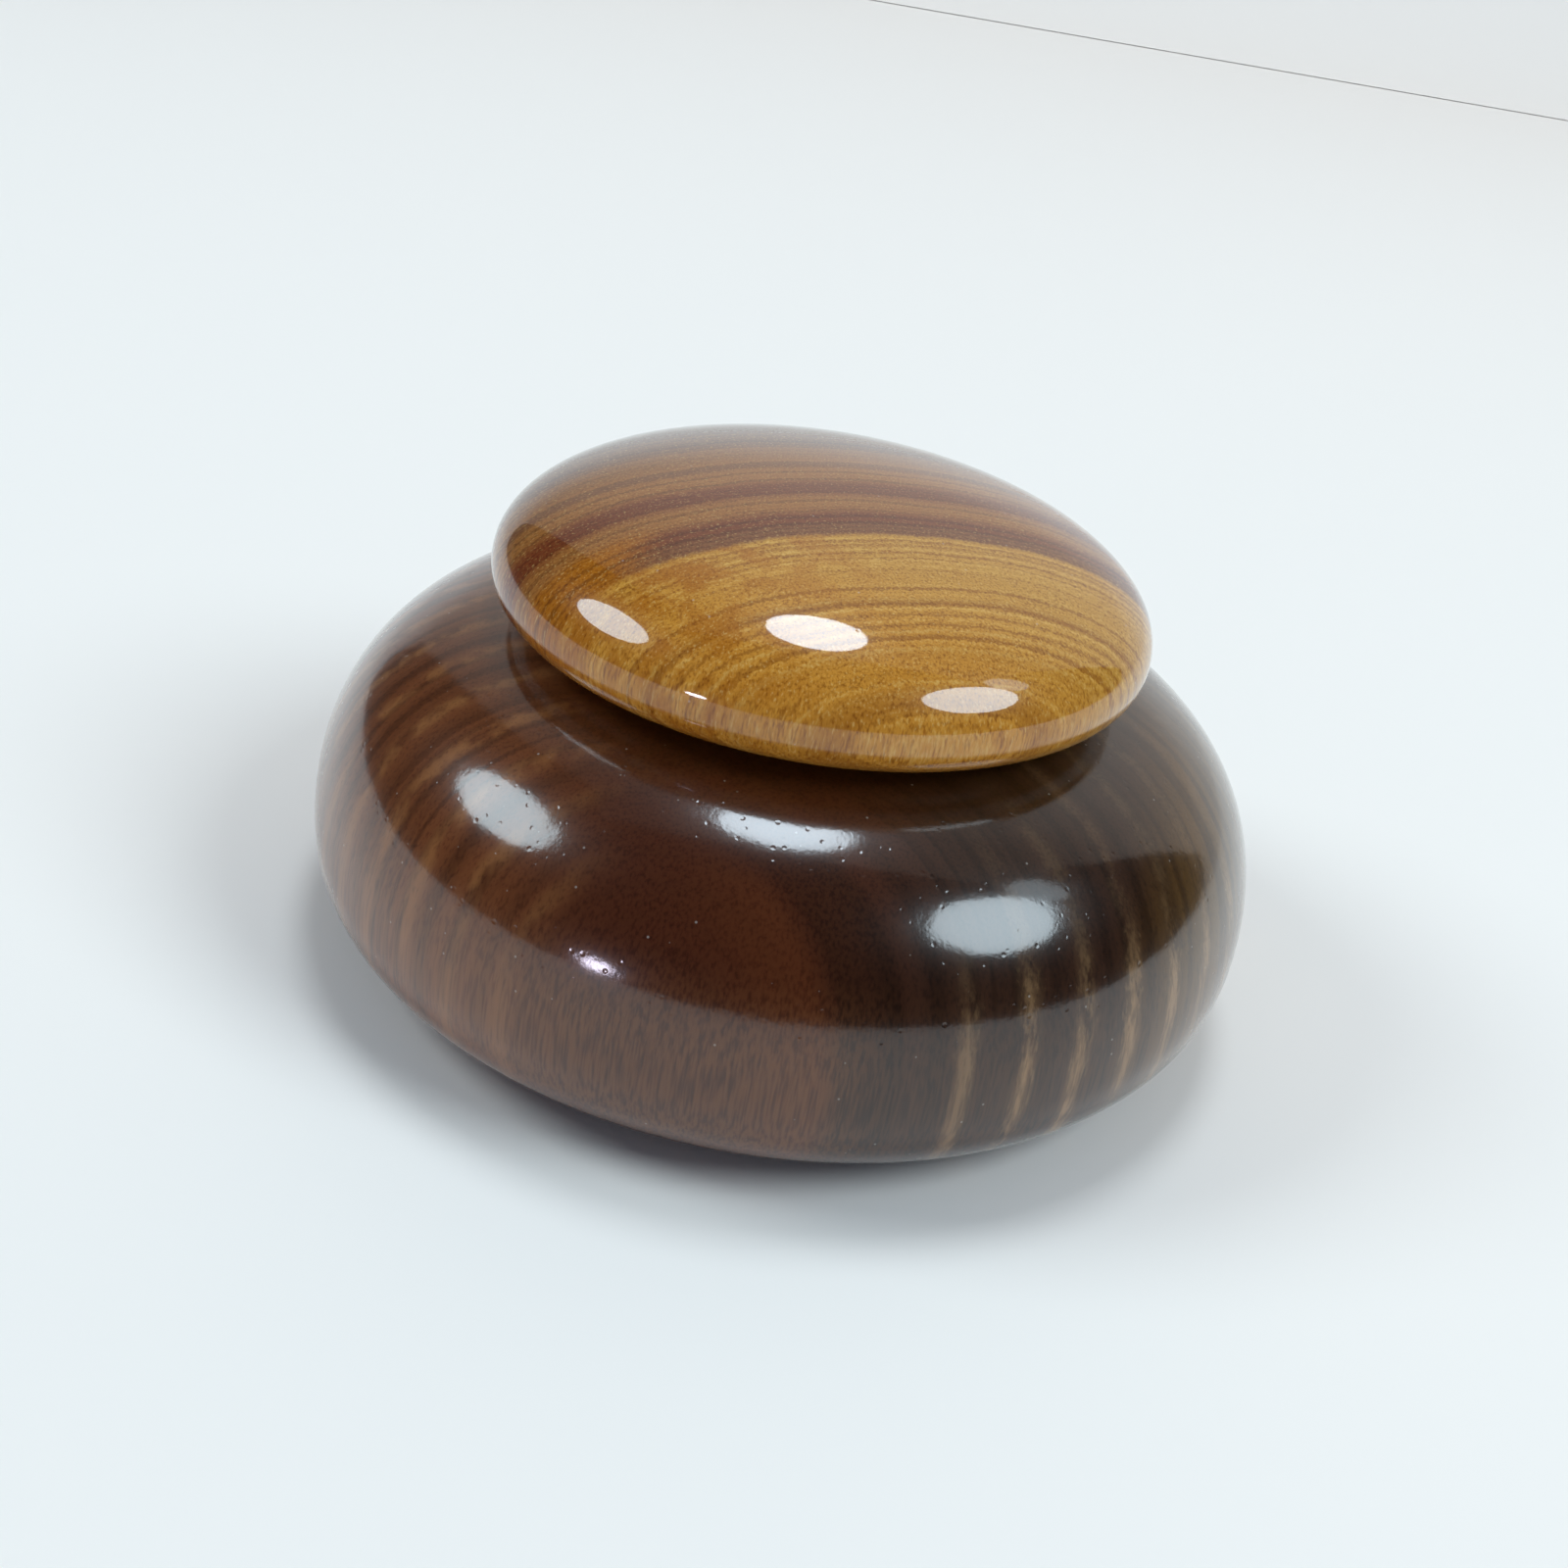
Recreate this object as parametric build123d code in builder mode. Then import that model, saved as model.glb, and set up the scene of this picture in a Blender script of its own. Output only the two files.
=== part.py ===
"""Go stone bowl: a squat turned wooden bowl and the lens-shaped lid that rests on its mouth.

Each piece is one lathe profile in the XZ plane, revolved about Z. Millimetres.
Z = 0 is the surface that the bowl stands on, and Z is the axis of both pieces.
"""

import os

from build123d import *

# Bowl, outside
bowl_diameter = 150.0
widest_height = 19.0  # from the foot up to the bowl's widest circle
shoulder_rise = 33.8  # from the widest circle up to the rim
shoulder_slope = 0.05  # fall per unit of radius where the shoulder leaves the rim
foot_diameter = 68.0  # outer edge of the flat ring that the bowl stands on
foot_recess_diameter = 46.0  # shallow recess inside that ring
foot_recess_depth = 1.0
foot_recess_rounding = 0.6

# Bowl, inside
wall = 8.5  # side wall and shoulder
floor_thickness = 8.0
mouth_diameter = 73.0
rim_width = 3.3  # flat ring around the mouth that carries the lid
rim_rounding = 0.8  # between the rim and the mouth
lip_rounding = 2.5  # where the mouth opens out into the hollow

# Lid
lid_diameter = 101.8
lid_edge_height = 8.0  # from the rim up to the lid's widest circle
lid_rise = 17.8  # from the widest circle up to the top
underside_slope = 0.22  # rise per unit of radius where the underside leaves the seat
crown_thickness = 15.0  # wood left over the middle of the dish in the underside
spigot_depth = 4.0
spigot_wall = 5.0
spigot_chamfer = 0.8
dish_rounding = 1.0
lid_clearance = 1.0  # radial play of the spigot in the mouth

# Fullness of each curve, at its first and its last point
shoulder_fullness = (0.68, 0.57)
belly_fullness = (0.95, 0.60)
dome_fullness = (0.62, 0.55)
underside_fullness = (0.92, 0.60)
dish_fullness = (0.45, 0.60)

# What follows from them
bowl_radius = bowl_diameter / 2
foot_radius = foot_diameter / 2
recess_radius = foot_recess_diameter / 2
mouth_radius = mouth_diameter / 2
rim_radius = mouth_radius + rim_width
rim_height = widest_height + shoulder_rise
hollow_radius = bowl_radius - wall
hollow_floor = foot_recess_depth + floor_thickness
hollow_ceiling = rim_height - wall
lid_radius = lid_diameter / 2
lid_edge = rim_height + lid_edge_height
lid_top = lid_edge + lid_rise
spigot_radius = mouth_radius - lid_clearance
spigot_bottom = rim_height - spigot_depth
dish_radius = spigot_radius - spigot_wall
dish_ceiling = lid_top - crown_thickness


def turned_curve(start, corner, end, fullness):
    """One quarter of a turned profile. It leaves start and reaches end along the lines to the
    corner, and a larger fullness at either end draws the curve closer to the corner."""
    start, corner, end = Vector(*start), Vector(*corner), Vector(*end)
    leaving = start + (corner - start) * fullness[0]
    arriving = end + (corner - end) * fullness[1]
    return Bezier(start, leaving, arriving, end)


def circle_edge(piece, radius, height):
    """The turned edge of a piece with this radius, at this height."""
    level = piece.edges().filter_by(GeomType.CIRCLE).group_by(Axis.Z)
    same_height = min(level, key=lambda edges: abs(edges[0].center().Z - height))
    return min(same_height, key=lambda edge: abs(edge.radius - radius))


os.makedirs("parts", exist_ok=True)

# Bowl: outer skin from the foot to the rim, then down the mouth and round the hollow
with BuildPart() as bowl:
    with BuildSketch(Plane.XZ):
        with BuildLine():
            Polyline(
                (0, hollow_floor),
                (0, foot_recess_depth),
                (recess_radius, foot_recess_depth),
                (recess_radius, 0),
                (foot_radius, 0),
            )
            turned_curve(
                (foot_radius, 0),
                (bowl_radius, 0),
                (bowl_radius, widest_height),
                belly_fullness[::-1],
            )
            shoulder_corner = rim_height - shoulder_slope * (bowl_radius - rim_radius)
            turned_curve(
                (bowl_radius, widest_height),
                (bowl_radius, shoulder_corner),
                (rim_radius, rim_height),
                shoulder_fullness,
            )
            Polyline(
                (rim_radius, rim_height),
                (mouth_radius, rim_height),
                (mouth_radius, hollow_ceiling),
            )
            ceiling_corner = hollow_ceiling - shoulder_slope * (hollow_radius - mouth_radius)
            turned_curve(
                (mouth_radius, hollow_ceiling),
                (hollow_radius, ceiling_corner),
                (hollow_radius, widest_height),
                shoulder_fullness[::-1],
            )
            turned_curve(
                (hollow_radius, widest_height),
                (hollow_radius, hollow_floor),
                (foot_radius, hollow_floor),
                belly_fullness,
            )
            Line((foot_radius, hollow_floor), (0, hollow_floor))
        make_face()
    revolve(axis=Axis.Z)
    fillet(circle_edge(bowl, mouth_radius, rim_height), rim_rounding)
    fillet(circle_edge(bowl, mouth_radius, hollow_ceiling), lip_rounding)
    fillet(circle_edge(bowl, recess_radius, 0), foot_recess_rounding)

bowl.part.label = "bowl"
export_step(bowl.part, "parts/bowl.step")

# Lid: the dish in the underside, the spigot, the seat on the rim, then round the edge to the top
with BuildPart() as lid:
    with BuildSketch(Plane.XZ):
        with BuildLine():
            turned_curve(
                (0, dish_ceiling),
                (dish_radius, dish_ceiling),
                (dish_radius, spigot_bottom),
                dish_fullness[::-1],
            )
            Polyline(
                (dish_radius, spigot_bottom),
                (spigot_radius, spigot_bottom),
                (spigot_radius, rim_height),
                (rim_radius, rim_height),
            )
            underside_corner = rim_height + underside_slope * (lid_radius - rim_radius)
            turned_curve(
                (rim_radius, rim_height),
                (lid_radius, underside_corner),
                (lid_radius, lid_edge),
                underside_fullness[::-1],
            )
            turned_curve(
                (lid_radius, lid_edge),
                (lid_radius, lid_top),
                (0, lid_top),
                dome_fullness,
            )
            Line((0, lid_top), (0, dish_ceiling))
        make_face()
    revolve(axis=Axis.Z)
    fillet(circle_edge(lid, dish_radius, spigot_bottom), dish_rounding)
    chamfer(circle_edge(lid, spigot_radius, spigot_bottom), spigot_chamfer)

lid.part.label = "lid"
export_step(lid.part, "parts/lid.step")
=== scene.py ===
"""Go stone bowl: the looks of a squat turned wooden bowl and its lens-shaped lid.

Each piece is one lathe profile spun about Z, with the same sizes as the packed part. Metres.
Both are lacquered rosewood: the bowl is all heartwood, and the lid crosses from heart to sapwood.
"""

import math

import bmesh
import bpy
from bpy.props import FloatProperty, FloatVectorProperty, IntProperty, PointerProperty
from mathutils import Matrix, Quaternion, Vector


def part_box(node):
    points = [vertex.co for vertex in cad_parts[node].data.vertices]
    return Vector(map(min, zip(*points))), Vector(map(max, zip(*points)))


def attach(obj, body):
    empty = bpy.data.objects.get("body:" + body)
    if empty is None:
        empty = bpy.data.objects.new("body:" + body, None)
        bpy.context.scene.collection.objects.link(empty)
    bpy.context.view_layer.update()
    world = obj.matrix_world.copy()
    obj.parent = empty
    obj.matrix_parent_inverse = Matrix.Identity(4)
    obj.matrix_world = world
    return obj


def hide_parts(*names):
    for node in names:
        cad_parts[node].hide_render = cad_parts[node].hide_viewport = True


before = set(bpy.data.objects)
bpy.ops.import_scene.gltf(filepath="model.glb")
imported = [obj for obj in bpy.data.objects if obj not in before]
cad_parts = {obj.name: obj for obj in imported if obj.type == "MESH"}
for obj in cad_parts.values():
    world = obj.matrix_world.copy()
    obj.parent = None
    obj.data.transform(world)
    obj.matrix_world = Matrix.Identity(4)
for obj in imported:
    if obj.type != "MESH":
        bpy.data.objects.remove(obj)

bl_info = {
    "name": "Go stone bowl",
    "version": (1, 0, 0),
    "blender": (4, 5, 0),
    "location": "View3D > Sidebar > Stone bowl",
    "description": "Turns a go stone bowl and its lid in lacquered rosewood",
    "category": "Object",
}

MM = 0.001
PER_METRE = 1000.0  # turns Object coordinates into millimetres
TOUCH = 0.01 * MM  # how near an edge has to lie to a circle to be on it
SLACK = 0.1 * MM  # how far past its limit a face still counts as inside
SMOOTH_BELOW = math.radians(30)  # sharper edges than this stay crisp
PROFILE_STEPS = 40  # straight pieces in each curve of a profile

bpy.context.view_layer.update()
bowl_low, bowl_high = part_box("bowl")
lid_low, lid_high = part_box("lid")


def srgb(hex_colour):
    """An sRGB hex value as the linear colour that Blender's sockets take."""
    channels = [int(hex_colour[place:place + 2], 16) / 255 for place in (0, 2, 4)]
    linear = [c / 12.92 if c <= 0.04045 else ((c + 0.055) / 1.055) ** 2.4 for c in channels]
    return (*linear, 1.0)


def length(name, description, default):
    return FloatProperty(name=name, description=description, default=default, unit="LENGTH", precision=5)


def slope(name, description, default):
    return FloatProperty(name=name, description=description, default=default, min=0)


def angle(name, description, degrees):
    return FloatProperty(
        name=name, description=description, default=math.radians(degrees), subtype="ANGLE"
    )


def light_level(name, description, default):
    return FloatProperty(name=name, description=description, default=default, min=0)


def fullness(name, description, default):
    return FloatVectorProperty(name=name, description=description, default=default, size=2, min=0, max=1)


def colour(name, description, default):
    return FloatVectorProperty(
        name=name, description=description, default=srgb(default), size=4, min=0, max=1, subtype="COLOR"
    )


class BowlSizes(bpy.types.PropertyGroup):
    """Sizes of the turned bowl"""

    radius: length("Radius", "Half the widest diameter", bowl_high[0])
    rim_height: length("Rim height", "From the table up to the ring that carries the lid", bowl_high[2])
    widest_height: length("Widest height", "From the table up to the widest circle", 19.0 * MM)
    shoulder_slope: slope("Shoulder slope", "Fall per unit of radius beside the rim", 0.05)
    foot_radius: length("Foot radius", "Outer edge of the flat ring that the bowl stands on", 34.0 * MM)
    recess_radius: length("Recess radius", "Outer edge of the recess inside the foot ring", 23.0 * MM)
    recess_depth: length("Recess depth", "Depth of the recess inside the foot ring", 1.0 * MM)
    recess_rounding: length("Recess rounding", "Rounding of the foot ring's inner edge", 0.6 * MM)
    wall: length("Wall", "Thickness of the side wall and the shoulder", 8.5 * MM)
    floor_thickness: length("Floor", "Wood between the hollow and the foot recess", 8.0 * MM)
    mouth_radius: length("Mouth radius", "Inner edge of the rim", 36.5 * MM)
    rim_width: length("Rim width", "Width of the flat ring that carries the lid", 3.3 * MM)
    rim_rounding: length("Rim rounding", "Rounding between the rim and the mouth", 0.8 * MM)
    lip_rounding: length("Lip rounding", "Rounding where the mouth opens into the hollow", 2.5 * MM)
    shoulder: fullness("Shoulder fullness", "Fullness at the shoulder's foot and at the rim", (0.68, 0.57))
    belly: fullness("Belly fullness", "Fullness at the belly's top and at the foot", (0.95, 0.60))
    steps: IntProperty(name="Steps", description="Facets round the bowl", default=288, min=32, max=512)


class LidSizes(bpy.types.PropertyGroup):
    """Sizes of the turned lid"""

    radius: length("Radius", "Half the widest diameter", lid_high[0])
    top: length("Top", "From the table up to the middle of the dome", lid_high[2])
    spigot_bottom: length("Spigot bottom", "From the table up to the spigot's lower face", lid_low[2])
    edge_height: length("Edge height", "From the rim up to the widest circle", 8.0 * MM)
    underside_slope: slope("Underside slope", "Rise per unit of radius beside the seat", 0.22)
    crown: length("Crown", "Wood left over the middle of the dish", 15.0 * MM)
    clearance: length("Clearance", "Radial play of the spigot in the mouth", 1.0 * MM)
    spigot_wall: length("Spigot wall", "Thickness of the ring that drops into the mouth", 5.0 * MM)
    spigot_chamfer: length("Spigot chamfer", "Chamfer on the spigot's lower outer edge", 0.8 * MM)
    dish_rounding: length("Dish rounding", "Rounding on the spigot's lower inner edge", 1.0 * MM)
    dome: fullness("Dome fullness", "Fullness at the dome's edge and at its top", (0.62, 0.55))
    underside: fullness("Underside fullness", "Fullness at the lid's edge and at the seat", (0.92, 0.60))
    dish: fullness("Dish fullness", "Fullness at the dish's edge and at its middle", (0.45, 0.60))
    steps: IntProperty(name="Steps", description="Facets round the lid", default=256, min=32, max=512)


class WoodColours(bpy.types.PropertyGroup):
    """Colours of the wood under the lacquer"""

    heart_red: colour("Red heart", "Middle of the bowl's front", "3f190c")
    heart_brown: colour("Brown heart", "Left side of the bowl", "6a391e")
    heart_black: colour("Black heart", "Right side of the bowl", "301b11")
    heart_olive: colour("Olive heart", "Far right side of the bowl", "5c401a")
    ember: colour("Ember heart", "Lit red band right of the bowl's middle", "4b210e")
    # Low on the belly this colour is also painted light, a wash that lightens and warms the wood facing the
    # pale table
    russet: colour("Russet lines", "Soft lines on the left and low on the belly", "8a5730")
    ochre: colour("Ochre streaks", "Ragged pale streaks along the bowl's rings", "9e7a54")
    sapwood: colour("Sapwood", "Golden front of the lid", "c68f3a")
    sapwood_pale: colour("Pale sapwood", "Pale lines in the golden wood", "deae5c")
    sapwood_line: colour("Sapwood lines", "Growth lines in the golden wood", "94591c")
    sapwood_front: colour("Front sapwood", "Deeper gold along the lid's front edge", "c8822a")
    amber: colour("Amber mottle", "Mottled patches at the lid's front left", "aa6416")
    lid_heart: colour("Lid heart", "Dark bands at the back of the lid", "7a3b1c")
    lid_heart_mid: colour("Middle heart", "Softer bands at the back of the lid", "804c2a")
    lid_heart_light: colour("Light heart", "Orange bands between them", "9f652f")


class StudioSettings(bpy.types.PropertyGroup):
    """Table, lights and camera"""

    table_colour: colour("Table", "Colour of the table and the backdrop", "f9f0e8")
    left_light: light_level("Left light", "Brightness of the left soft box", 7.9)
    right_light: light_level("Right light", "Brightness of the right soft box", 8.6)
    top_light: light_level("Top light", "Brightness of the overhead soft box", 12.9)
    lamp: light_level("Lamp", "Brightness of the small low lamp", 30.0)
    camera_distance: length("Camera distance", "From the camera to the middle of the bowl", 322.0 * MM)
    camera_elevation: angle("Camera elevation", "Height of the camera above the horizon", 29.8)
    camera_roll: angle("Camera roll", "Turn of the camera about its own line of sight", 9.9)
    camera_tilt: angle("Camera tilt", "How far above the bowl's middle the camera aims", 1.04)
    lens: FloatProperty(
        name="Lens", description="Focal length for a 36 mm sensor", default=45.0, unit="CAMERA"
    )


# ---------------------------------------------------------------- turning


def straight(*points):
    """Straight cuts of a profile, as one point for each corner."""
    return [(None, None, Vector((x, 0, z))) for x, z in points]


def turned_curve(start, corner, end, full):
    """One curved quarter of a profile. It leaves start and reaches end along the lines to the
    corner, and a larger fullness at either end draws the curve closer to the corner."""
    start, corner, end = (Vector((x, 0, z)) for x, z in (start, corner, end))
    leaving = start + (corner - start) * full[0]
    arriving = end + (corner - end) * full[1]
    return [(leaving, arriving, end)]


def profile_mesh(name, start, cuts):
    """The profile as a mesh of short edges. It is drawn as one Bezier spline from start."""
    curve = bpy.data.curves.new(name, "CURVE")
    curve.dimensions = "3D"
    curve.resolution_u = PROFILE_STEPS
    spline = curve.splines.new("BEZIER")
    spline.bezier_points.add(len(cuts))
    knots = spline.bezier_points
    knots[0].co = Vector((start[0], 0, start[1]))
    knots[0].handle_left_type = "VECTOR"
    for knot, following, (leaving, arriving, end) in zip(knots, knots[1:], cuts):
        following.co = end
        knot.handle_right_type = "FREE" if leaving else "VECTOR"
        following.handle_left_type = "FREE" if leaving else "VECTOR"
        if leaving:
            knot.handle_right = leaving
            following.handle_left = arriving
    knots[-1].handle_right_type = "VECTOR"
    drawn = bpy.data.objects.new(name, curve)
    mesh = bpy.data.meshes.new_from_object(drawn)
    bpy.data.objects.remove(drawn)
    bpy.data.curves.remove(curve)
    return mesh


def circle_edges(bm, radius, height):
    """The ring of edges at this radius and height."""
    def on_circle(vert):
        return abs(vert.co.xy.length - radius) < TOUCH and abs(vert.co.z - height) < TOUCH

    return [edge for edge in bm.edges if all(on_circle(vert) for vert in edge.verts)]


def turn_on_lathe(name, profile, steps, rounded, is_inside, materials):
    """Spins a profile into a closed solid, rounds its corners, and gives the faces that
    is_inside picks the second material. rounded lists (radius, height, size, segments)."""
    bm = bmesh.new()
    bm.from_mesh(profile)
    bpy.data.meshes.remove(profile)
    bmesh.ops.spin(
        bm, geom=bm.verts[:] + bm.edges[:], cent=(0, 0, 0), axis=(0, 0, 1),
        angle=math.tau, steps=steps, use_merge=True,
    )
    bmesh.ops.remove_doubles(bm, verts=bm.verts[:], dist=1e-6)
    bmesh.ops.recalc_face_normals(bm, faces=bm.faces[:])
    for radius, height, size, segments in rounded:
        bmesh.ops.bevel(
            bm, geom=circle_edges(bm, radius, height), offset=size, segments=segments,
            profile=0.5, affect="EDGES", material=-1,
        )
    for face in bm.faces:
        face.smooth = True
        face.material_index = int(is_inside(face.calc_center_median(), face.normal))
    for edge in bm.edges:
        edge.smooth = edge.calc_face_angle(0) < SMOOTH_BELOW
    mesh = bpy.data.meshes.new(name)
    bm.to_mesh(mesh)
    bm.free()
    for material in materials:
        mesh.materials.append(material)
    piece = bpy.data.objects.new(name, mesh)
    bpy.context.collection.objects.link(piece)
    return piece


# ---------------------------------------------------------------- wood

MIX_A, MIX_B, MIX_RESULT = 6, 7, 2  # colour sockets of a Mix node
BOWL_PITH = (-14.6, -93.4)  # where the tree's middle stood, in millimetres from the lathe's axis
LID_PITH = (173.9, -424.4)
STREAK_START = 50.6  # millimetres from the tree's middle to the first ochre streak
STREAK_GAP = 9.3  # millimetres from each streak to the next
HEART_EDGE = 440.0  # millimetres from the tree's middle to where the lid's heart begins
NIB_SPACING = 2.8  # millimetres between dust nibs under the lacquer
PORE_SPACING = 1.7  # millimetres between sunk pores
BROAD_RIPPLE, CLOSE_RIPPLE = 3.2, 0.7  # millimetres across each ripple of the orange peel

# Tints that darken or lighten the wood under them
DEEP_RING = srgb("6e5c54")
FINE_RINGS = srgb("9c918a")
BOWL_FIBRES = srgb("a8a09a")
REAR_SHADE = srgb("a8a4a0")
HEART_LINES = srgb("a08c84")
LID_FIBRES = srgb("b89a78")
LID_FLECKS = srgb("e2c078")
DUST = srgb("c9c2b8")

# Tones of the stage
CEILING_SHADE = srgb("3f3f3f")
DARK_WALLS = srgb("161616")
FILL_LIGHT = srgb("627488")
PALE_VIEW = srgb("e6ebed")


def add(tree, kind, inputs=(), stops=(), **settings):
    """Adds a node with its settings, its links and values, and a ramp's colour stops.
    Nodes stand in a row in the order that they are made."""
    node = tree.nodes.new(kind)
    node.location.x = 200 * len(tree.nodes)
    for setting, value in settings.items():
        setattr(node, setting, value)
    for socket, value in dict(inputs).items():
        if isinstance(value, bpy.types.NodeSocket):
            tree.links.new(value, node.inputs[socket])
        else:
            node.inputs[socket].default_value = value
    if stops:
        elements = node.color_ramp.elements
        while len(elements) < len(stops):
            elements.new(1)
        for element, (place, shade) in zip(elements, stops):
            element.position = place
            element.color = shade
    return node


def faded(tree, strength, *spans):
    """A strength that fades smoothly over each span in turn. A span is a value, where it starts
    and where it is full, and then the shares at those two places unless they are 0 and 1."""
    for value, start, full, *shares in spans:
        least, most = shares or (0.0, 1.0)
        share = add(
            tree, "ShaderNodeMapRange",
            {"Value": value, "From Min": start, "From Max": full, "To Min": least, "To Max": most},
            interpolation_type="SMOOTHSTEP",
        ).outputs["Result"]
        strength = add(tree, "ShaderNodeMath", {0: share, 1: strength}, operation="MULTIPLY").outputs[0]
    return strength


def tinted(tree, ground, tint, strength, *spans, blend="MIX"):
    """The ground's colour with a tint over it, as strong as its spans leave it."""
    return add(
        tree, "ShaderNodeMix", {0: faded(tree, strength, *spans), MIX_A: ground, MIX_B: tint},
        data_type="RGBA", blend_type=blend,
    ).outputs[MIX_RESULT]


def in_millimetres(tree, place):
    """Sockets for X, Y and Z in millimetres."""
    scaled = add(tree, "ShaderNodeMapping", {"Vector": place, "Scale": (PER_METRE,) * 3}).outputs["Vector"]
    return add(tree, "ShaderNodeSeparateXYZ", {0: scaled}).outputs


def fibre_noise(tree, place, across, along, detail=2.0):
    """Noise drawn out along the grain, which runs up the lathe's axis. Sizes in millimetres.
    Real pores are 0.1 to 0.2 mm wide, and are drawn two to four times as coarse so that they show."""
    fibres = add(
        tree, "ShaderNodeMapping",
        {"Vector": place, "Scale": (PER_METRE / across, PER_METRE / across, PER_METRE / along)},
    )
    return add(
        tree, "ShaderNodeTexNoise", {"Vector": fibres.outputs["Vector"], "Scale": 1.0, "Detail": detail}
    ).outputs["Fac"]


def ring_distance(tree, place, pith, wander, wander_size, ragged):
    """Distance from the middle of the tree in millimetres, with slow wander and ragged fibres.
    pith is where that middle stands, in millimetres from the lathe's axis."""
    log = add(
        tree, "ShaderNodeMapping",
        {"Vector": place, "Location": (-pith[0], -pith[1], 0), "Scale": (PER_METRE, PER_METRE, 0)},
    )
    reach = add(
        tree, "ShaderNodeVectorMath", {0: log.outputs["Vector"]}, operation="LENGTH"
    ).outputs["Value"]
    slow = fibre_noise(tree, place, wander_size, wander_size * 3)
    fine = fibre_noise(tree, place, 0.7, 9.0)
    for noise, swing in ((slow, wander), (fine, ragged)):
        centred = add(tree, "ShaderNodeMath", {0: noise, 1: 0.5}, operation="SUBTRACT").outputs[0]
        reach = add(
            tree, "ShaderNodeMath", {0: centred, 1: swing, 2: reach}, operation="MULTIPLY_ADD"
        ).outputs[0]
    return reach


def ring_lines(tree, reach, spacing, detail=2.0):
    """Growth lines of uneven width, one for about each spacing in millimetres."""
    scaled = add(tree, "ShaderNodeMath", {0: reach, 1: spacing}, operation="DIVIDE").outputs[0]
    return add(
        tree, "ShaderNodeTexNoise", {"W": scaled, "Scale": 1.0, "Detail": detail}, noise_dimensions="1D"
    ).outputs["Fac"]


def bowl_figure(tree, place, colours):
    """Colour of the bowl's wood, with light from the pale table painted low on the belly. The tree's
    middle stood in front of the bowl, so the rings close into ovals on the front of the belly and
    run up its sides as streaks."""
    x, y, z = in_millimetres(tree, place)
    reach = ring_distance(tree, place, BOWL_PITH, wander=4.0, wander_size=30.0, ragged=0.8)
    right = faded(tree, 1.0, (x, 2.0, 27.0))
    left = faded(tree, 1.0, (x, -18.0, -44.0))
    wood = tinted(tree, colours.heart_red, colours.heart_black, right)
    wood = tinted(tree, wood, colours.heart_brown, left)
    wood = tinted(tree, wood, colours.heart_olive, 1.0, (x, 46.0, 66.0))
    wood = tinted(tree, wood, colours.ember, 1.0, (reach, 23.0, 29.0), (reach, 34.6, 31.6), (x, -16.0, 2.0))
    wood = tinted(
        tree, wood, DEEP_RING, 0.55, (reach, 31.6, 35.0), (reach, 44.0, 39.0), (x, -12.0, 8.0),
        blend="MULTIPLY",
    )
    # The fine rings show most on the bowl's sides
    beside = add(tree, "ShaderNodeMath", {0: right, 1: left}, operation="ADD").outputs[0]
    banding = add(
        tree, "ShaderNodeMath", {0: beside, 1: 0.55, 2: 0.15}, operation="MULTIPLY_ADD"
    ).outputs[0]
    rings = ring_lines(tree, reach, 3.0, 3.0)
    wood = tinted(tree, wood, FINE_RINGS, banding, (rings, 0.38, 0.66), blend="MULTIPLY")
    # Ochre streaks: a ragged core of fibres in a soft halo, strongest low on the right
    along = add(tree, "ShaderNodeMath", {0: reach, 1: STREAK_START}, operation="SUBTRACT").outputs[0]
    nearest = add(
        tree, "ShaderNodeMath", {0: along, 1: STREAK_GAP / 2}, operation="PINGPONG"
    ).outputs[0]
    grain = fibre_noise(tree, place, 0.6, 4.0, 3.0)
    patchy = fibre_noise(tree, place, 3.5, 22.0)
    core = add(
        tree, "ShaderNodeMath", {0: grain, 1: 1.7, 2: patchy}, operation="MULTIPLY_ADD"
    ).outputs[0]
    core = add(
        tree, "ShaderNodeMath", {0: nearest, 1: -0.3, 2: core}, operation="MULTIPLY_ADD"
    ).outputs[0]
    core = faded(tree, 0.42, (core, 0.9, 1.5))
    halo = faded(tree, 0.4, (nearest, 2.6, 0.3), (patchy, 0.3, 0.6))
    streak = add(tree, "ShaderNodeMath", {0: core, 1: halo}, operation="ADD").outputs[0]
    side = add(
        tree, "ShaderNodeMath", {0: left, 1: 0.15, 2: faded(tree, 1.0, (x, 22.0, 34.0))},
        operation="MULTIPLY_ADD",
    ).outputs[0]
    streak = add(tree, "ShaderNodeMath", {0: streak, 1: side}, operation="MULTIPLY").outputs[0]
    wood = tinted(tree, wood, colours.ochre, streak, (z, 42.0, 27.0, 0.14, 1.0), (y, 34.0, 8.0, 0.15, 1.0))
    wood = tinted(tree, wood, colours.russet, left, (nearest, 2.4, 0.2, 0.0, 0.85), (patchy, 0.35, 0.6))
    # Dark fibres all over, and russet ones between them low on the belly. The russet grows towards
    # the foot as painted light: it lightens and warms the belly where it faces the pale table.
    fibres = fibre_noise(tree, place, 0.45, 8.0)
    wood = tinted(tree, wood, BOWL_FIBRES, 0.5, (fibres, 0.5, 0.74), blend="MULTIPLY")
    return tinted(
        tree, wood, colours.russet, 1.0,
        (z, 38.0, 24.0, 0.08, 0.44), (x, 22.0, 8.0, 0.35, 1.0), (fibres, 0.66, 0.36, 0.3, 1.0),
    )


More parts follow.
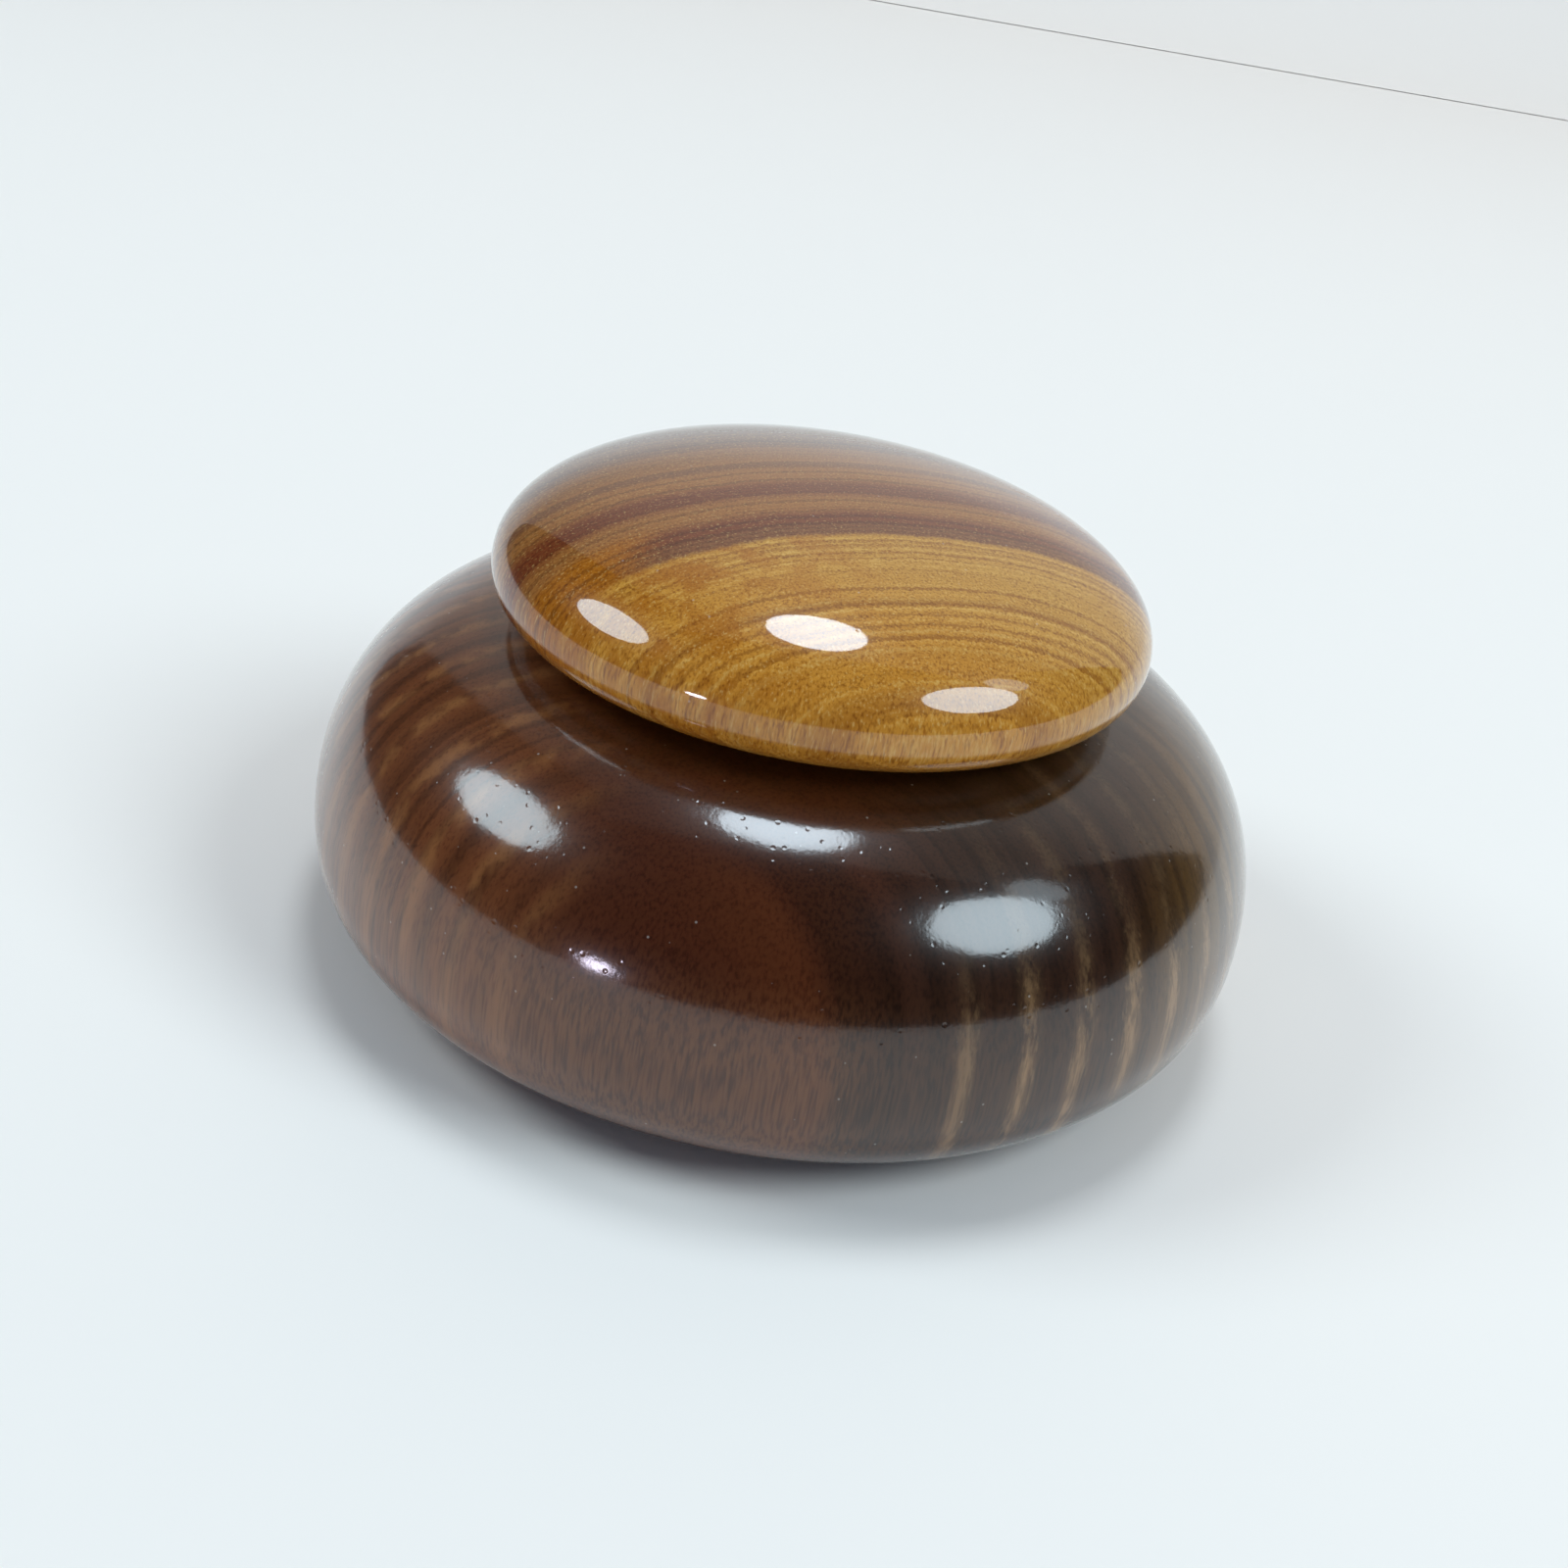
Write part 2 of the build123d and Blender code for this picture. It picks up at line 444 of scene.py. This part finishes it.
def lid_figure(tree, place, colours):
    """Colour of the lid's wood: fine golden sapwood in front, and banded heart behind an arc."""
    x, y, _ = in_millimetres(tree, place)
    reach = ring_distance(tree, place, LID_PITH, wander=2.4, wander_size=24.0, ragged=1.1)
    past = add(tree, "ShaderNodeMath", {0: reach, 1: HEART_EDGE}, operation="SUBTRACT").outputs[0]
    grain = fibre_noise(tree, place, 0.42, 1.6)
    lines = ring_lines(tree, reach, 1.0, 3.0)
    wide_lines = ring_lines(tree, reach, 4.5)
    mottle = fibre_noise(tree, place, 5.0, 9.0, 4.0)
    beaded = add(
        tree, "ShaderNodeMath", {0: grain, 1: 0.5, 2: lines}, operation="MULTIPLY_ADD"
    ).outputs[0]
    gold = tinted(tree, colours.sapwood, colours.sapwood_front, 0.7, (y, -20.0, -44.0))
    gold = tinted(tree, gold, colours.sapwood_line, 0.78, (beaded, 0.72, 0.96))
    gold = tinted(tree, gold, colours.sapwood_pale, 0.55, (beaded, 0.7, 0.52))
    gold = tinted(tree, gold, colours.sapwood_line, 0.46, (wide_lines, 0.48, 0.72))
    gold = tinted(tree, gold, colours.amber, 1.0, (mottle, 0.4, 0.62), (x, 16.0, -22.0, 0.1, 0.85))
    # Heart bands, in millimetres past its edge
    dark, middle, light = colours.lid_heart, colours.lid_heart_mid, colours.lid_heart_light
    bands = (
        (0.0, middle), (2.4, middle), (4.2, dark), (6.0, dark), (8.4, light), (11.4, light),
        (13.5, dark), (16.5, dark), (19.2, light), (22.8, light), (24.6, middle), (26.4, light),
        (32.4, light), (36.0, middle), (40.8, light), (48.0, middle), (60.0, light),
    )
    last = bands[-1][0]
    share = add(
        tree, "ShaderNodeMapRange", {"Value": past, "From Min": 0.0, "From Max": last}
    ).outputs["Result"]
    heart = add(
        tree, "ShaderNodeValToRGB", {"Fac": share}, stops=[(start / last, shade) for start, shade in bands]
    ).outputs["Color"]
    heart = tinted(tree, heart, REAR_SHADE, 0.8, (past, 18.0, 46.0), blend="MULTIPLY")
    heart = tinted(tree, heart, colours.amber, 1.0, (past, 9.5, 7.0), (x, -22.0, -31.0))
    heart_lines = add(
        tree, "ShaderNodeMath", {0: grain, 1: 0.4, 2: lines}, operation="MULTIPLY_ADD"
    ).outputs[0]
    heart = tinted(tree, heart, HEART_LINES, 0.6, (heart_lines, 0.6, 0.95), blend="MULTIPLY")
    wood = tinted(tree, gold, heart, 1.0, (past, -0.4, 0.8))
    flecks = fibre_noise(tree, place, 0.35, 3.0)
    wood = tinted(tree, wood, LID_FIBRES, 0.7, (flecks, 0.5, 0.72), blend="MULTIPLY")
    return tinted(tree, wood, LID_FLECKS, 0.35, (flecks, 0.42, 0.27))


# ---------------------------------------------------------------- finishes


def blank_material(name):
    """A new material, its empty tree and its Object coordinates."""
    material = bpy.data.materials.new(name)
    material.use_nodes = True
    tree = material.node_tree
    tree.nodes.clear()
    return material, tree, add(tree, "ShaderNodeTexCoord").outputs["Object"]


def lacquered_rosewood(name, figure, colours, peel, coat_roughness, haze):
    """Rosewood under a thick clear lacquer, rubbed out to a gloss. The eye gets sharp reflections
    on deep wood, with edges that ripple over the lacquer's orange peel, sunk pores and dust nibs.
    haze is the faint broad sheen where the rubbing left fine scratches."""
    material, tree, place = blank_material(name)
    wood = figure(tree, place, colours)
    # Dust nibs under the lacquer, in some cells only
    nibs = add(tree, "ShaderNodeTexVoronoi", {"Vector": place, "Scale": PER_METRE / NIB_SPACING})
    chance = add(tree, "ShaderNodeSeparateColor", {0: nibs.outputs["Color"]}).outputs["Red"]
    wood = tinted(tree, wood, DUST, 0.3, (nibs.outputs["Distance"], 0.08, 0.04), (chance, 0.55, 0.6))
    # Orange peel, as broad and close ripples
    broad = add(
        tree, "ShaderNodeTexNoise",
        {"Vector": place, "Scale": PER_METRE / BROAD_RIPPLE, "Detail": 0.0},
    ).outputs["Fac"]
    close = add(
        tree, "ShaderNodeTexNoise",
        {"Vector": place, "Scale": PER_METRE / CLOSE_RIPPLE, "Detail": 1.0},
    ).outputs["Fac"]
    ripple = add(
        tree, "ShaderNodeMath", {0: broad, 1: 3.0, 2: close}, operation="MULTIPLY_ADD"
    ).outputs[0]
    # Sunk pores, deeper in some cells than in others
    pores = add(tree, "ShaderNodeTexVoronoi", {"Vector": place, "Scale": PER_METRE / PORE_SPACING})
    depth = add(tree, "ShaderNodeSeparateColor", {0: pores.outputs["Color"]}).outputs["Green"]
    sunk = faded(tree, -2.7, (pores.outputs["Distance"], 0.26, 0.06), (depth, 0.25, 0.7))
    height = add(tree, "ShaderNodeMath", {0: ripple, 1: sunk}, operation="ADD").outputs[0]
    skin = add(tree, "ShaderNodeBump", {"Height": height, "Strength": 1.0, "Distance": peel})
    shader = add(
        tree, "ShaderNodeBsdfPrincipled",
        {
            "Base Color": wood, "Roughness": 0.3, "Specular IOR Level": haze,
            "Coat Weight": 1.0, "Coat Roughness": coat_roughness, "Coat IOR": 1.58,
            "Coat Normal": skin.outputs["Normal"],
        },
    )
    add(tree, "ShaderNodeOutputMaterial", {"Surface": shader.outputs["BSDF"]})
    return material


def oiled_rosewood(name, figure, colours):
    """The same wood where hands and stones touch it, wiped with a thin coat and left satin. The
    eye gets dull sheen and fine turning rings."""
    material, tree, place = blank_material(name)
    wood = figure(tree, place, colours)
    x, y, z = in_millimetres(tree, place)
    across = add(tree, "ShaderNodeCombineXYZ", {0: x, 1: y}).outputs["Vector"]
    radius = add(tree, "ShaderNodeVectorMath", {0: across}, operation="LENGTH").outputs["Value"]
    travel = add(tree, "ShaderNodeMath", {0: radius, 1: z}, operation="ADD").outputs[0]
    tool_marks = ring_lines(tree, travel, 0.9)
    pores = fibre_noise(tree, place, 0.4, 6.0)
    height = add(tree, "ShaderNodeMath", {0: tool_marks, 1: pores}, operation="ADD").outputs[0]
    surface = add(tree, "ShaderNodeBump", {"Height": height, "Strength": 1.0, "Distance": 0.02 * MM})
    shader = add(
        tree, "ShaderNodeBsdfPrincipled",
        {
            "Base Color": wood, "Roughness": 0.42, "Specular IOR Level": 0.4,
            "Coat Weight": 0.25, "Coat Roughness": 0.25, "Normal": surface.outputs["Normal"],
        },
    )
    add(tree, "ShaderNodeOutputMaterial", {"Surface": shader.outputs["BSDF"]})
    return material


def matt_paper(name, paper_colour):
    """Matt white seamless paper that darkens as it rises, with its own glow where it rises behind
    the bowl. The eye gets an even pale ground, and reflections that fade towards the ceiling."""
    material, tree, place = blank_material(name)
    # Spans in metres: up from the table, and across from the left end of the backdrop
    x, _, z = add(tree, "ShaderNodeSeparateXYZ", {0: place}).outputs
    glow = faded(tree, 0.62, (z, 0.1, 0.6), (z, 3.2, 1.5, 0.45, 1.0), (x, -1.6, 0.0, 0.35, 1.0))
    paper = tinted(tree, paper_colour, CEILING_SHADE, 1.0, (z, 0.1, 0.7))
    shader = add(
        tree, "ShaderNodeBsdfPrincipled",
        {
            "Base Color": paper, "Roughness": 0.9, "Specular IOR Level": 0.1,
            "Emission Color": paper_colour, "Emission Strength": glow,
        },
    )
    add(tree, "ShaderNodeOutputMaterial", {"Surface": shader.outputs["BSDF"]})
    return material


# ---------------------------------------------------------------- operators


class STONEBOWL_OT_bowl(bpy.types.Operator):
    """Turn the bowl"""

    bl_idname = "stone_bowl.turn_bowl"
    bl_label = "Turn the bowl"

    def execute(self, context):
        sizes, colours = context.scene.bowl_sizes, context.scene.wood_colours
        rim_radius = sizes.mouth_radius + sizes.rim_width
        hollow_radius = sizes.radius - sizes.wall
        hollow_floor = sizes.recess_depth + sizes.floor_thickness
        hollow_ceiling = sizes.rim_height - sizes.wall
        shoulder_corner = sizes.rim_height - sizes.shoulder_slope * (sizes.radius - rim_radius)
        ceiling_corner = hollow_ceiling - sizes.shoulder_slope * (hollow_radius - sizes.mouth_radius)
        shoulder, belly = tuple(sizes.shoulder), tuple(sizes.belly)
        cuts = straight(
            (sizes.recess_radius, sizes.recess_depth),
            (sizes.recess_radius, 0),
            (sizes.foot_radius, 0),
        )
        cuts += turned_curve(
            (sizes.foot_radius, 0), (sizes.radius, 0), (sizes.radius, sizes.widest_height), belly[::-1]
        )
        cuts += turned_curve(
            (sizes.radius, sizes.widest_height), (sizes.radius, shoulder_corner),
            (rim_radius, sizes.rim_height), shoulder,
        )
        cuts += straight((sizes.mouth_radius, sizes.rim_height), (sizes.mouth_radius, hollow_ceiling))
        cuts += turned_curve(
            (sizes.mouth_radius, hollow_ceiling), (hollow_radius, ceiling_corner),
            (hollow_radius, sizes.widest_height), shoulder[::-1],
        )
        cuts += turned_curve(
            (hollow_radius, sizes.widest_height), (hollow_radius, hollow_floor),
            (sizes.foot_radius, hollow_floor), belly,
        )
        cuts += straight((0, hollow_floor))
        middle = Vector((0, 0, (hollow_floor + hollow_ceiling) / 2))

        def in_hollow(point, normal):
            return point.z > hollow_floor - SLACK and normal.dot(middle - point) > 0

        outside = lacquered_rosewood(
            "lacquered_rosewood_bowl", bowl_figure, colours, peel=0.008 * MM, coat_roughness=0.11, haze=0.14
        )
        inside = oiled_rosewood("oiled_rosewood_bowl", bowl_figure, colours)
        bowl = turn_on_lathe(
            "turned_bowl",
            profile_mesh("bowl_profile", (0, sizes.recess_depth), cuts),
            sizes.steps,
            [
                (sizes.mouth_radius, sizes.rim_height, sizes.rim_rounding, 5),
                (sizes.mouth_radius, hollow_ceiling, sizes.lip_rounding, 8),
                (sizes.recess_radius, 0, sizes.recess_rounding, 4),
            ],
            in_hollow,
            (outside, inside),
        )
        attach(bowl, "bowl")
        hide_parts("bowl")
        return {"FINISHED"}


class STONEBOWL_OT_lid(bpy.types.Operator):
    """Turn the lid"""

    bl_idname = "stone_bowl.turn_lid"
    bl_label = "Turn the lid"

    def execute(self, context):
        bowl, sizes = context.scene.bowl_sizes, context.scene.lid_sizes
        colours = context.scene.wood_colours
        seat_radius = bowl.mouth_radius + bowl.rim_width
        spigot_radius = bowl.mouth_radius - sizes.clearance
        dish_radius = spigot_radius - sizes.spigot_wall
        dish_ceiling = sizes.top - sizes.crown
        edge = bowl.rim_height + sizes.edge_height
        underside_corner = bowl.rim_height + sizes.underside_slope * (sizes.radius - seat_radius)
        cuts = turned_curve(
            (0, dish_ceiling), (dish_radius, dish_ceiling), (dish_radius, sizes.spigot_bottom),
            tuple(sizes.dish)[::-1],
        )
        cuts += straight(
            (spigot_radius, sizes.spigot_bottom),
            (spigot_radius, bowl.rim_height),
            (seat_radius, bowl.rim_height),
        )
        cuts += turned_curve(
            (seat_radius, bowl.rim_height), (sizes.radius, underside_corner), (sizes.radius, edge),
            tuple(sizes.underside)[::-1],
        )
        cuts += turned_curve(
            (sizes.radius, edge), (sizes.radius, sizes.top), (0, sizes.top), tuple(sizes.dome)
        )

        def under_seat(point, normal):
            return point.xy.length < seat_radius and point.z < dish_ceiling + SLACK

        outside = lacquered_rosewood(
            "lacquered_rosewood_lid", lid_figure, colours, peel=0.0008 * MM, coat_roughness=0.04, haze=0.1
        )
        inside = oiled_rosewood("oiled_rosewood_lid", lid_figure, colours)
        lid = turn_on_lathe(
            "turned_lid",
            profile_mesh("lid_profile", (0, dish_ceiling), cuts),
            sizes.steps,
            [
                (spigot_radius, sizes.spigot_bottom, sizes.spigot_chamfer, 1),
                (dish_radius, sizes.spigot_bottom, sizes.dish_rounding, 5),
            ],
            under_seat,
            (outside, inside),
        )
        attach(lid, "lid")
        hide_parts("lid")
        return {"FINISHED"}


class STONEBOWL_OT_stage(bpy.types.Operator):
    """Set up the table, the lights and the camera"""

    bl_idname = "stone_bowl.set_stage"
    bl_label = "Set the stage"

    def execute(self, context):
        scene, settings = context.scene, context.scene.studio_settings
        paper = matt_paper("matt_paper", settings.table_colour)
        self.lay_table(paper)
        self.hang_backdrop(paper)
        self.soft_box("left_soft_box", -87, 41, 13.5, 11.0, settings.left_light, "e2f6ff")
        self.soft_box("right_soft_box", 68, 43.5, 14.0, 14.0, settings.right_light, "e2f5ff")
        self.soft_box("side_soft_box", 93, 47, 4.0, 7.0, 0.25 * settings.right_light, "e2f5ff")
        self.soft_box("top_soft_box", 180, 77.5, 8.0, 9.2, settings.top_light, "e2f3ff")
        self.soft_box("low_lamp", -34, 5, 3.6, 2.4, settings.lamp, "ece6ff")
        self.place_camera(scene, settings)
        self.dark_room(scene)
        scene.view_settings.view_transform = "Standard"
        return {"FINISHED"}

    def lay_table(self, paper):
        """A wide flat table that rises gently towards the camera's side."""
        reach, front, slope = 6.0, 0.3, math.radians(2.5)
        bm = bmesh.new()
        bmesh.ops.create_grid(bm, x_segments=1, y_segments=1, size=reach)
        edges = [edge for edge in bm.edges if all(vert.co.y < 0 for vert in edge.verts)]
        bmesh.ops.translate(bm, verts=list(edges[0].verts), vec=(0, reach - front, 0))
        rise = bmesh.ops.extrude_edge_only(bm, edges=edges)["geom"]
        verts = [part for part in rise if isinstance(part, bmesh.types.BMVert)]
        bmesh.ops.translate(bm, verts=verts, vec=(0, -reach, reach * math.tan(slope)))
        self.show(bm, "table", paper)

    def hang_backdrop(self, paper):
        """Paper that bends up from the table behind the bowl, leans forward and ends as a ceiling."""
        left, right, back, bend, clear = -1.45, 2.7, 1.2, 0.6, 0.5 * MM
        bm = bmesh.new()
        foot = bmesh.ops.create_vert(bm, co=(left, back, clear))["vert"]
        foot += bmesh.ops.create_vert(bm, co=(right, back, clear))["vert"]
        edges = bmesh.ops.contextual_create(bm, geom=foot)["edges"]
        bent = bmesh.ops.spin(
            bm, geom=edges, cent=(0, back, bend), axis=(1, 0, 0), angle=math.radians(90), steps=24
        )["geom_last"]
        edges = [part for part in bent if isinstance(part, bmesh.types.BMEdge)]
        # The wall and then the ceiling: how far it goes, and how much it widens about which X
        for step, widening, middle in (((0, -0.9, 3.0), 1.1, 0.1), ((0, -0.85, 0.3), 1.2, 0.0)):
            grown = bmesh.ops.extrude_edge_only(bm, edges=edges)["geom"]
            verts = [part for part in grown if isinstance(part, bmesh.types.BMVert)]
            edges = [part for part in grown if isinstance(part, bmesh.types.BMEdge)]
            edges = [edge for edge in edges if all(vert in verts for vert in edge.verts)]
            bmesh.ops.translate(bm, verts=verts, vec=step)
            bmesh.ops.scale(
                bm, verts=verts, vec=(widening, 1, 1), space=Matrix.Translation((-middle, 0, 0))
            )
        self.show(bm, "backdrop", paper)

    def place_camera(self, scene, settings):
        """The camera looks at the middle of the bowl from in front and above."""
        camera = bpy.data.objects.new("camera", bpy.data.cameras.new("camera"))
        scene.collection.objects.link(camera)
        camera.data.lens = settings.lens
        camera.data.clip_start = 10 * MM
        middle = Vector((0, 0, scene.bowl_sizes.widest_height))
        elevation = settings.camera_elevation
        away = Vector((0, -math.cos(elevation), math.sin(elevation)))
        camera.location = middle + away * settings.camera_distance
        camera.rotation_mode = "QUATERNION"
        camera.rotation_quaternion = (
            Quaternion((1, 0, 0), math.radians(90) - elevation)
            @ Quaternion((0, 0, 1), settings.camera_roll)
            @ Quaternion((1, 0, 0), settings.camera_tilt)
        )
        scene.camera = camera

    def show(self, bm, name, material):
        """Puts a finished stage mesh into the scene."""
        mesh = bpy.data.meshes.new(name)
        bm.to_mesh(mesh)
        bm.free()
        mesh.materials.append(material)
        for face in mesh.polygons:
            face.use_smooth = True
        item = bpy.data.objects.new(name, mesh)
        bpy.context.scene.collection.objects.link(item)

    def soft_box(self, name, azimuth, elevation, half_width, half_height, brightness, tint):
        """An oval soft box, placed by its direction and its apparent half sizes in degrees.
        Azimuth 0 is the camera's side, and brightness is that of its face."""
        distance, target = 2.5, Vector((0, 0, 40 * MM))
        turn, rise = math.radians(azimuth), math.radians(elevation)
        across = math.cos(rise)
        away = Vector((math.sin(turn) * across, -math.cos(turn) * across, math.sin(rise)))
        light = bpy.data.lights.new(name, "AREA")
        light.shape = "ELLIPSE"
        light.size = 2 * distance * math.tan(math.radians(half_width))
        light.size_y = 2 * distance * math.tan(math.radians(half_height))
        area = math.pi / 4 * light.size * light.size_y
        light.energy = brightness * math.pi * area
        light.color = srgb(tint)[:3]
        box = bpy.data.objects.new(name, light)
        bpy.context.scene.collection.objects.link(box)
        box.location = target + away * distance
        box.rotation_mode = "QUATERNION"
        box.rotation_quaternion = (-away).to_track_quat("-Z", "Y")

    def dark_room(self, scene):
        """A dark room round the table, with faint blue light in the shadows. Only the view past
        the table's edge is pale."""
        world = bpy.data.worlds.new("dark_room")
        scene.world = world
        world.use_nodes = True
        tree = world.node_tree
        tree.nodes.clear()
        ray = add(tree, "ShaderNodeLightPath").outputs
        tone = tinted(tree, DARK_WALLS, FILL_LIGHT, ray["Is Diffuse Ray"])
        tone = tinted(tree, tone, PALE_VIEW, ray["Is Camera Ray"])
        room = add(tree, "ShaderNodeBackground", {"Color": tone, "Strength": 1.0})
        add(tree, "ShaderNodeOutputWorld", {"Surface": room.outputs["Background"]})


class STONEBOWL_PT_panel(bpy.types.Panel):
    """Lists the pieces and their settings"""

    bl_idname = "STONEBOWL_PT_panel"
    bl_label = "Stone bowl"
    bl_space_type = "VIEW_3D"
    bl_region_type = "UI"
    bl_category = "Stone bowl"

    def draw(self, context):
        for operator in OPERATORS:
            self.layout.operator(operator.bl_idname)
        for name, group in GROUPS.items():
            column = self.layout.box().column()
            column.label(text=group.__doc__)
            for field in group.__annotations__:
                column.prop(getattr(context.scene, name), field)


GROUPS = {
    "bowl_sizes": BowlSizes,
    "lid_sizes": LidSizes,
    "wood_colours": WoodColours,
    "studio_settings": StudioSettings,
}
OPERATORS = (STONEBOWL_OT_bowl, STONEBOWL_OT_lid, STONEBOWL_OT_stage)
CLASSES = (*GROUPS.values(), *OPERATORS, STONEBOWL_PT_panel)


def register():
    for item in CLASSES:
        bpy.utils.register_class(item)
    for name, group in GROUPS.items():
        setattr(bpy.types.Scene, name, PointerProperty(type=group))


def unregister():
    for name in GROUPS:
        delattr(bpy.types.Scene, name)
    for item in reversed(CLASSES):
        bpy.utils.unregister_class(item)


def main():
    register()
    bpy.ops.stone_bowl.turn_bowl()
    bpy.ops.stone_bowl.turn_lid()
    bpy.ops.stone_bowl.set_stage()


if __name__ == "__main__":
    main()
